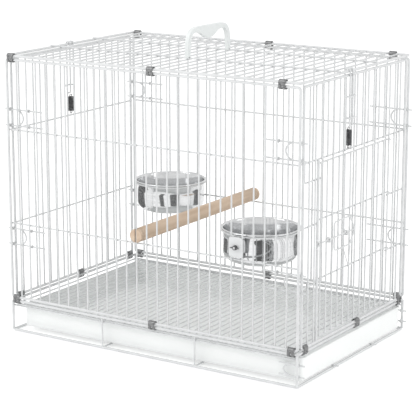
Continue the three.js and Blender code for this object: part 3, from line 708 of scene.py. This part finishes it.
# Each level is (how far in, how high), up the outside, over the lip and down the inside.
levels = [
    (lip_in + 3.0, foot), (lip_in + 0.9, foot + 0.5), (lip_in, foot + 2.5),
    (lip_in, brim - TRAY_LIP - TRAY_EDGE), (lip_in, brim - TRAY_LIP),
    (TRAY_EDGE, brim - TRAY_LIP), (0, brim - TRAY_LIP + TRAY_EDGE),
    (0, brim - TRAY_EDGE), (TRAY_EDGE, brim),
    (lip_in + TRAY_WALL - TRAY_EDGE, brim), (lip_in + TRAY_WALL, brim - TRAY_EDGE),
    (lip_in + TRAY_WALL, foot + TRAY_WALL + 3.0), (lip_in + TRAY_WALL + 1.0, foot + TRAY_WALL + 0.8),
    (lip_in + TRAY_WALL + 3.5, foot + TRAY_WALL),
]
tray = new_shape()
add_rings(tray, [rounded_ring(outline, inset, z, corner) for inset, z in levels])
make_piece("moulded_tray", tray, tray_plastic, "tray", ["tray"])

# ---- Floor grate -----------------------------------------------------------------------------
# Fine wires from front to back on a rod rectangle. The birds walk on it and what falls through
# lands in the tray.
GRATE_ROD = 2.8
GRATE_WIRE = 2.0
GRATE_GAPS = 42
GRATE_BEND = 3.0

low, high = (v * 1000 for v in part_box("floor_grate"))
half_x = high.x - GRATE_ROD / 2
half_y = high.y - GRATE_ROD / 2
grate_z = (low.z + high.z) / 2
grate = new_shape()
flat_rectangle(grate, half_x, half_y, grate_z, GRATE_ROD, GRATE_BEND)
for i in range(1, GRATE_GAPS):
    x = -half_x + 2 * half_x * i / GRATE_GAPS
    straight(grate, (x, -half_y, grate_z), (x, half_y, grate_z), GRATE_WIRE, sides=8)
make_piece("wire_grate", grate, white_coat, "grate", ["floor_grate"])

# ---- Bowls -----------------------------------------------------------------------------------
# Spun stainless bowls with a rolled rim and a rounded foot. Each drops into a wire ring, whose
# plate is bolted between two uprights to a second plate outside, with a small wing nut.
BOWL_RADIUS = 68.0
BOWL_DEPTH = 58.0
BOWL_RIM_Z = 244.0
BOWL_RIM = 3.5
BOWL_SIDES = 96
RING_WIRE = 3.0
PLATE_HALF, PLATE_SHEET = 13.5, 2.0
OUTER_PLATE_HALF = 17.0
CLAMP_Z = BOWL_RIM_Z - 20.0
BOLT_HOLE = 3.0
ARM_X = 9  # each arm of the ring, from the middle
RING_SIDES, TURNED_SIDES = 72, 28
BOWL_FOOT = 15  # how far the foot's curve comes in
BOWL_WALL = 1
ROLL = 1.6  # radius of the rolled rim
# A wing nut's ear, root to tip: share of its reach, half height, half thickness.
WING_SECTIONS = ((0.0, 1.6, 1.2), (0.35, 2.1, 1.1), (0.75, 2.3, 0.9), (1.0, 1.3, 0.6))
WING_SIDES = 14
# Turned outlines as (radius, distance from the seat).
CARRIAGE_BOLT = [(0, 0), (3.2, 0.3), (5.0, 1.3), (6.0, 3.0), (2.4, 3.2), (2.4, 18.6), (1.9, 19.2), (0, 19.2)]
NUT_HUB = [(2.8, 0), (4.0, 0), (4.2, 0.3), (4.0, 2.4), (3.6, 4.7), (3.3, 5.0), (2.8, 5.0)]


def spun_steel():
    """Polished stainless with faint rings left by spinning."""
    material, nodes, links, shader = node_material("spun_stainless")
    rings = noise(nodes, links, 30.0, 4.0, (1, 1, 40))
    vary_colour(nodes, links, shader, rings, [(0.3, (0.6, 0.605, 0.61)), (0.7, (0.74, 0.745, 0.75))])
    vary_roughness(nodes, links, shader, rings, 0.05, 0.13)
    bump(nodes, links, shader, rings, 0.05, 0.0001)
    shader.inputs["Metallic"].default_value = 1.0
    return material


def plated_steel():
    """Bright zinc plate, slightly cloudy."""
    material, nodes, links, shader = node_material("bright_zinc_plate")
    cloud = noise(nodes, links, 300.0)
    vary_colour(nodes, links, shader, cloud, [(0.3, (0.5, 0.505, 0.51)), (0.7, (0.66, 0.665, 0.67))])
    vary_roughness(nodes, links, shader, cloud, 0.22, 0.38)
    bump(nodes, links, shader, cloud, 0.1, 0.0001)
    shader.inputs["Metallic"].default_value = 1.0
    return material


stainless = spun_steel()
bright_zinc = plated_steel()


def lathe(shape, profile, centre, sides=BOWL_SIDES, axis=(0, 0, 1)):
    """Turns (radius, height) pairs about an axis through centre, and caps both ends."""
    up = Vector(axis).normalized()
    side = up.orthogonal().normalized()
    other = up.cross(side)
    rings = []
    for radius, height in profile:
        rings.append([
            Vector(centre) + up * height + (side * math.cos(t) + other * math.sin(t)) * max(radius, 0.02)
            for t in (2 * math.pi * k / sides for k in range(sides))
        ])
    add_rings(shape, rings)


def bowl_profile():
    """Up the outside, round the rolled rim and down the inside, as (radius, height below the rim)."""
    r, h = BOWL_RADIUS - BOWL_RIM, BOWL_DEPTH
    foot = r - BOWL_FOOT
    out = [(0, -h + 1.2), (foot - 18, -h + 1.2), (foot - 14, -h + 0.3), (foot - 4, -h)]
    for k in range(1, 11):
        turn = math.pi / 2 * k / 10
        out.append((foot - 4 + (r - foot + 4) * math.sin(turn), -h + 18 * (1 - math.cos(turn))))
    out += [(r, -20), (r, -4.2)]
    middle = BOWL_RADIUS - ROLL
    for k in range(11):
        turn = -math.pi * 0.6 + math.pi * 1.3 * k / 10
        out.append((middle + ROLL * math.cos(turn), -ROLL + ROLL * math.sin(turn)))
    out += [(r - 0.2, -1.2), (r - BOWL_WALL, -3)]
    for k in range(10, 0, -1):
        turn = math.pi / 2 * k / 10
        out.append((foot - 4 + (r - BOWL_WALL - foot + 4) * math.sin(turn),
                    -h + BOWL_WALL + 17 * (1 - math.cos(turn))))
    out += [(foot - 8, -h + 1.1), (foot - 14, -h + 1.4), (foot - 18, -h + 2.2), (0, -h + 2.2)]
    return out


def clamp_ring(x, y, out):
    """The ring, its two arms and the clamp plate with its bolt hole."""
    shape = new_shape()
    radius = BOWL_RADIUS - BOWL_RIM + PLAY + RING_WIRE / 2
    z = BOWL_RIM_Z - 3 - PLAY - RING_WIRE / 2
    ring = []
    for k in range(RING_SIDES):
        turn = 2 * math.pi * k / RING_SIDES
        ring.append((x + radius * math.cos(turn), y + radius * math.sin(turn), z))
    add_wire(shape, ring, RING_WIRE, closed=True)
    plate_y = out * (SIDE_Y - ROD / 2 - CROSS_STEP / 2 - PLATE_SHEET / 2)
    for side in (-ARM_X, ARM_X):
        reach = math.sqrt(radius ** 2 - side ** 2)
        straight(shape, (x + side, y + out * reach, z), (x + side, plate_y, z), RING_WIRE)
    rim = []
    for layer in (-0.5, 0.5):
        outer, inner = [], []
        for k in range(32):
            t = 2 * math.pi * (k + 0.5) / 32
            c, s = math.cos(t), math.sin(t)
            grow = 1 / max(abs(c), abs(s)) ** 0.85
            high_z = min(CLAMP_Z + 10 * s * grow * (1.25 if s > 0 else 1), z + RING_WIRE / 2)
            outer.append(Vector((x + PLATE_HALF * c * grow * 0.98, plate_y + layer * PLATE_SHEET, high_z)))
            inner.append(Vector((x + BOLT_HOLE * c, plate_y + layer * PLATE_SHEET, CLAMP_Z + BOLT_HOLE * s)))
        rim.append((outer, inner))
    add_rings(shape, [rim[0][1], rim[0][0], rim[1][0], rim[1][1]], closed=True)
    return shape


def outer_plate(x, seat, out):
    """A sheet with round corners and a bolt hole, standing outside the wires."""
    sheet = []
    for away in (0.0, PLATE_SHEET):
        outer, inner = [], []
        for k in range(40):
            t = 2 * math.pi * (k + 0.5) / 40
            c, s = math.cos(t), math.sin(t)
            fill = (abs(c) ** 8 + abs(s) ** 8) ** -0.125
            y = seat + out * away
            outer.append(Vector((x + PLATE_HALF * c * fill, y, CLAMP_Z + OUTER_PLATE_HALF * s * fill)))
            inner.append(Vector((x + BOLT_HOLE * c, y, CLAMP_Z + BOLT_HOLE * s)))
        sheet.append((outer, inner))
    shape = new_shape()
    add_rings(shape, [sheet[0][1], sheet[0][0], sheet[1][0], sheet[1][1]], closed=True)
    return shape


def wing(shape, x, y, z, out, side):
    """One ear of the wing nut: a flat lobe that leans outwards."""
    rings = []
    for share, half_high, thick in WING_SECTIONS:
        cx = x + side * (3.0 + 5.4 * share)
        cy = y + out * (2.9 + 0.7 * share)
        rings.append([
            Vector((cx, cy + half_high * math.cos(t), z + thick * math.sin(t)))
            for t in (2 * math.pi * k / WING_SIDES for k in range(WING_SIDES))
        ])
    add_rings(shape, rings)


def seat_of(node, out):
    """Where the face of a node's box that looks into the cage lies, for a wall whose outside is out."""
    low, high = (v * 1000 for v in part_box(node))
    return high.y if out < 0 else low.y


for name, out in (("front", -1), ("back", 1)):
    low, high = (v * 1000 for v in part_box(f"{name}_bowl"))
    x, y = (low.x + high.x) / 2, (low.y + high.y) / 2
    bowl = new_shape()
    lathe(bowl, bowl_profile(), (x, y, BOWL_RIM_Z))
    make_piece(f"{name}_spun_bowl", bowl, stainless, f"{name}_bowl", [f"{name}_bowl"])
    ring = clamp_ring(x, y, out)
    make_piece(f"{name}_clamp_ring", ring, white_coat, "cage", [f"{name}_bowl_ring"])

    node = f"{name}_bowl_bolt"
    bolt = new_shape()
    lathe(bolt, CARRIAGE_BOLT, (x, seat_of(node, out), CLAMP_Z), TURNED_SIDES, (0, out, 0))
    make_piece(f"{name}_carriage_bolt", bolt, bright_zinc, "cage", [node])

    node = f"{name}_bowl_nut"
    seat = seat_of(node, out)
    nut = new_shape()
    lathe(nut, NUT_HUB, (x, seat, CLAMP_Z), TURNED_SIDES, (0, out, 0))
    for ear in (-1, 1):
        wing(nut, x, seat, CLAMP_Z, out, ear)
    make_piece(f"{name}_wing_nut", nut, dark_steel, "cage", [node])

    node = f"{name}_bowl_plate"
    plate = outer_plate(x, seat_of(node, out), out)
    make_piece(f"{name}_outer_plate", plate, white_coat, "cage", [node], smooth=False)

# ---- Perch -----------------------------------------------------------------------------------
# A plain dowel, bare and sanded. It rests on the cross wires, and a saw cut up each end
# straddles one upright, so it lifts out.
PERCH_RADIUS = 12.0
SLOT_DEPTH = 9.0
SLOT_HALF = WIRE / 2 + PLAY
HALF_SIDES = 20
# The sanded end of a cheek: how much smaller, how far from the end.
SANDED = ((0, 1.2), (0.4, 0.4), (1.2, 0))


def bare_wood():
    """Pale hardwood with grain along the dowel, short dark pores and a faint change of tone."""
    material, nodes, links, shader = node_material("bare_turned_wood")
    grain = noise(nodes, links, 110.0, 6.0, (1, 0.06, 1))
    pores = noise(nodes, links, 900.0, 2.0, (1, 0.05, 1))
    tones = [(0.28, (0.45, 0.33, 0.235)), (0.5, (0.55, 0.42, 0.31)), (0.75, (0.62, 0.49, 0.375))]
    vary_colour(nodes, links, shader, grain, tones)
    vary_roughness(nodes, links, shader, grain, 0.6, 0.78)
    bump(nodes, links, shader, pores, 0.3, 0.0002)
    return material


def slotted_dowel(x, z, end):
    """The dowel as one skin: a round body, and at each end two half-round cheeks beside the cut."""
    shape = new_shape()
    bottom = end - SLOT_DEPTH

    def arc(radius):
        """Half a turn, less the two corners that the cut takes off at this radius."""
        edge = math.asin(SLOT_HALF / radius)
        return [edge + (math.pi - 2 * edge) * k / HALF_SIDES for k in range(HALF_SIDES + 1)]

    def cheek(side, radius, y):
        reach = side * radius
        return [Vector((x + reach * math.sin(t), y, z + reach * math.cos(t))) for t in arc(radius)]

    half = arc(PERCH_RADIUS)
    ring = [(math.sin(t), math.cos(t)) for t in half] + [(-math.sin(t), -math.cos(t)) for t in half]
    add_rings(shape, [[Vector((x + PERCH_RADIUS * a, y, z + PERCH_RADIUS * b)) for a, b in ring]
                      for y in (-bottom, -bottom / 2, 0, bottom / 2, bottom)])
    rows = [(PERCH_RADIUS, bottom - 0.01)] + [(PERCH_RADIUS - less, end - back) for less, back in SANDED]
    for out in (-1, 1):
        for side in (-1, 1):
            add_rings(shape, [cheek(side, radius, out * y) for radius, y in rows])
    return shape


low, high = (v * 1000 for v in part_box("perch"))
perch = slotted_dowel((low.x + high.x) / 2, (low.z + high.z) / 2, high.y)
make_piece("sawn_perch", perch, bare_wood(), "perch", ["perch"])

# ---- Carry handle ----------------------------------------------------------------------------
# A thin moulded arch, deepest in the middle of the grip, whose two feet snap down over the
# roof's long wires.
HANDLE_HALF_WIDTH = 4.0
HANDLE_GRIP, HANDLE_SHOULDER = 23.0, 10.0
HANDLE_FOOT = 4.0
HANDLE_EDGE = 0.0011  # metres
HANDLE_EDGE_STEPS = 4
HANDLE_SHARPEST = math.radians(50)
CURVE_STEPS = 14


def bezier(a, b, c, d):
    """The points after a on a curve from a to d."""
    points = []
    for k in range(1, CURVE_STEPS + 1):
        t = k / CURVE_STEPS
        points.append(tuple(
            p * (1 - t) ** 3 + q * 3 * t * (1 - t) ** 2 + r * 3 * t * t * (1 - t) + s * t ** 3
            for p, q, r, s in zip(a, b, c, d)))
    return points


low, high = (v * 1000 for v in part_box("carry_handle"))
top, feet = high.z, low.z
leg, hand = ROOF_WIRE_Y + HANDLE_FOOT, ROOF_WIRE_Y - HANDLE_FOOT
slot_top = ROOF_Z + CROSS_STEP + SLOT_HALF
under, grip_z, inner = top - HANDLE_SHOULDER, top - HANDLE_GRIP, hand - 18


def foot_slot(y):
    """The notch in a foot that snaps over a long wire of the roof."""
    near, far = y - SLOT_HALF, y + SLOT_HALF
    return [(near, feet), (near, slot_top), (far, slot_top), (far, feet)]


outline = [(-leg, feet), (-leg, feet + 12)]
outline += bezier((-leg, feet + 12), (-leg, top - 10), (-leg + 8, top), (-leg + 34, top))
outline += [(leg - 34, top)]
outline += bezier((leg - 34, top), (leg - 8, top), (leg, top - 10), (leg, feet + 12))
outline += [(leg, feet)] + list(reversed(foot_slot(ROOF_WIRE_Y))) + [(hand, feet)]
outline += bezier((hand, feet), (hand, under - 6), (hand - 6, under), (inner, under))
outline += bezier((inner, under), (inner / 2, under), (inner / 2, grip_z), (0, grip_z))
outline += bezier((0, grip_z), (-inner / 2, grip_z), (-inner / 2, under), (-inner, under))
outline += bezier((-inner, under), (-hand + 6, under), (-hand, under - 6), (-hand, feet))
outline += list(reversed(foot_slot(-ROOF_WIRE_Y)))
arch = new_shape()
add_rings(arch, [[Vector((x, y, z)) for y, z in outline] for x in (-HANDLE_HALF_WIDTH, HANDLE_HALF_WIDTH)])
handle_plastic = moulded("satin_handle_plastic", (0.74, 0.765, 0.76), (0.71, 0.735, 0.73), 0.42)
handle = make_piece("moulded_handle", arch, handle_plastic, "cage", ["carry_handle"],
                    smooth=False)
soften = handle.modifiers.new("rounded_edges", "BEVEL")
soften.width = HANDLE_EDGE
soften.segments = HANDLE_EDGE_STEPS
soften.limit_method = "ANGLE"
soften.angle_limit = HANDLE_SHARPEST
soften.use_clamp_overlap = True
handle.data.polygons.foreach_set("use_smooth", [True] * len(handle.data.polygons))
firm = handle.modifiers.new("firm_shading", "WEIGHTED_NORMAL")
firm.keep_sharp = True

# ---- Room ------------------------------------------------------------------------------------
# A pale studio floor under plain soft light from large panels, in an even bright surround, with
# dark boards on the floor for the polished bowls to reflect.
FLOOR_REACH, FLOOR_DEPTH = 9.0, -0.0005  # metres, like everything in this section
BOARD_DEPTH = -0.0002
BOARD_NEAR, BOARD_FAR = 0.47, 2.6
# The dark boards, as (direction in degrees round from the front, how many degrees wide).
BOARDS = ((-94, 40), (-7, 16), (45, 38), (145, 30))


def staged_sheet(name, corners, material):
    """A flat sheet of the studio, not a piece of the cage."""
    mesh = bpy.data.meshes.new(name)
    mesh.from_pydata(corners, [], [(0, 1, 2, 3)])
    sheet = bpy.data.objects.new(name, mesh)
    bpy.context.scene.collection.objects.link(sheet)
    mesh.materials.append(material)
    return sheet


def plain_paint(name, grey, rough):
    """An even grey, and its shader."""
    material, _, _, shader = node_material(name)
    shader.inputs["Base Color"].default_value = (grey, grey, grey, 1)
    shader.inputs["Roughness"].default_value = rough
    return material, shader


pale_floor, shader = plain_paint("pale_floor", 0.85, 0.9)
shader.inputs["Emission Color"].default_value = (1, 1, 1, 1)
shader.inputs["Emission Strength"].default_value = 0.3
signs = ((-1, -1), (1, -1), (1, 1), (-1, 1))
staged_sheet("studio_floor", [(a * FLOOR_REACH, b * FLOOR_REACH, FLOOR_DEPTH) for a, b in signs], pale_floor)

world = bpy.data.worlds.new("bright_surround")
world.use_nodes = True
world.node_tree.nodes["Background"].inputs["Color"].default_value = (1, 1, 1, 1)
world.node_tree.nodes["Background"].inputs["Strength"].default_value = 1.03
bpy.context.scene.world = world


def soft_panel(name, place, aim, size, power):
    """A large soft light, its size in metres and its power in watts."""
    lamp = bpy.data.lights.new(name, "AREA")
    lamp.shape = "RECTANGLE"
    lamp.size, lamp.size_y = size
    lamp.energy = power
    light = bpy.data.objects.new(name, lamp)
    light.location = place
    light.rotation_euler = (Vector(aim) - Vector(place)).to_track_quat("-Z", "Y").to_euler()
    bpy.context.scene.collection.objects.link(light)


soft_panel("key_panel", (-1.6, -2.2, 2.6), (0, 0, 0.25), (1.6, 1.6), 26)
soft_panel("side_panel", (2.8, 0.4, 1.4), (0, 0, 0.25), (1.2, 1.6), 9)


board_paint, shader = plain_paint("dark_board_paint", 0.1, 1.0)
for turn, spread in BOARDS:
    # Seen only in polished surfaces, where it makes the dark bands of a product studio.
    corners = []
    for side, reach in ((-0.5, BOARD_NEAR), (0.5, BOARD_NEAR), (0.5, BOARD_FAR), (-0.5, BOARD_FAR)):
        angle = math.radians(turn + side * spread)
        corners.append((math.sin(angle) * reach, -math.cos(angle) * reach, BOARD_DEPTH))
    board = staged_sheet(f"dark_board_{turn}", corners, board_paint)
    board.visible_camera = False
    board.visible_diffuse = False
    board.visible_shadow = False

# ---- Camera ----------------------------------------------------------------------------------
# A long lens, a third of the way round from the front towards the door end, a little above.
AZIMUTH, ELEVATION = math.radians(32.7), math.radians(13.2)
DISTANCE = 2.991
TARGET = Vector((0, 0, 0.229))
LENS = 143.8

camera_data = bpy.data.cameras.new("studio_camera")
camera_data.lens = LENS
camera_data.sensor_width = 36.0
camera = bpy.data.objects.new("studio_camera", camera_data)
level = math.cos(ELEVATION)
back = Vector((math.sin(AZIMUTH) * level, -math.cos(AZIMUTH) * level, math.sin(ELEVATION)))
camera.location = TARGET + back * DISTANCE
camera.rotation_euler = (-back).to_track_quat("-Z", "Y").to_euler()
bpy.context.scene.collection.objects.link(camera)
bpy.context.scene.camera = camera
bpy.context.scene.view_settings.view_transform = "Standard"
